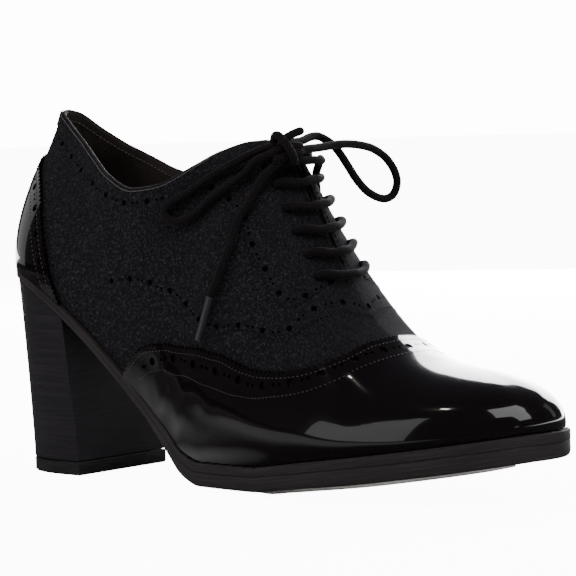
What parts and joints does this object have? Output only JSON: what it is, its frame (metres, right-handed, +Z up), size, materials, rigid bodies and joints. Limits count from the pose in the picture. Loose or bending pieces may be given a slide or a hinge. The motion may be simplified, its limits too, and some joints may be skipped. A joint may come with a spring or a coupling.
{
  "type": "heeled oxford shoe",
  "caption": "Lace-up oxford shoe on a high block heel, with a felt upper, a patent wing toe cap and heel counter, and a tied round lace.",
  "frame": {"origin": "on the floor, at the middle of the underside of the heel's top piece", "axes": "+X from heel to toe, +Y to the wearer's left (the inner side of this right shoe), +Z up"},
  "size_m": [0.2462, 0.0884, 0.1407],
  "materials": {
    "felt": "flecked charcoal wool felt",
    "patent": "black patent, high gloss",
    "lining": "smooth matt",
    "sole_edge": "blackened edge, satin",
    "heel_cover": "stacked, black, satin",
    "top_piece": "matt",
    "grip": "off-white, fine ribs",
    "lace": "round braid",
    "aglet": "smoky clear tube"
  },
  "bodies": {
    "root": {"upper": "felt", "wing_cap": "patent", "heel_counter": "patent", "back_tab": "patent", "tongue": "felt", "midsole": "sole_edge", "outsole": "sole_edge", "forefoot_grip": "grip", "insole": "lining", "heel": "heel_cover", "top_piece": "top_piece", "lace_bar_1": "lace", "lace_bar_2": "lace", "lace_bar_3": "lace", "lace_bar_4": "lace", "lace_bar_5": "lace", "lace_bar_6": "lace", "lace_knot": "lace", "lace_loop_outer": "lace", "lace_loop_inner": "lace", "lace_end_outer": "lace", "lace_end_inner": "lace", "aglet_outer": "aglet", "aglet_inner": "aglet"}
  },
  "joints": []
}
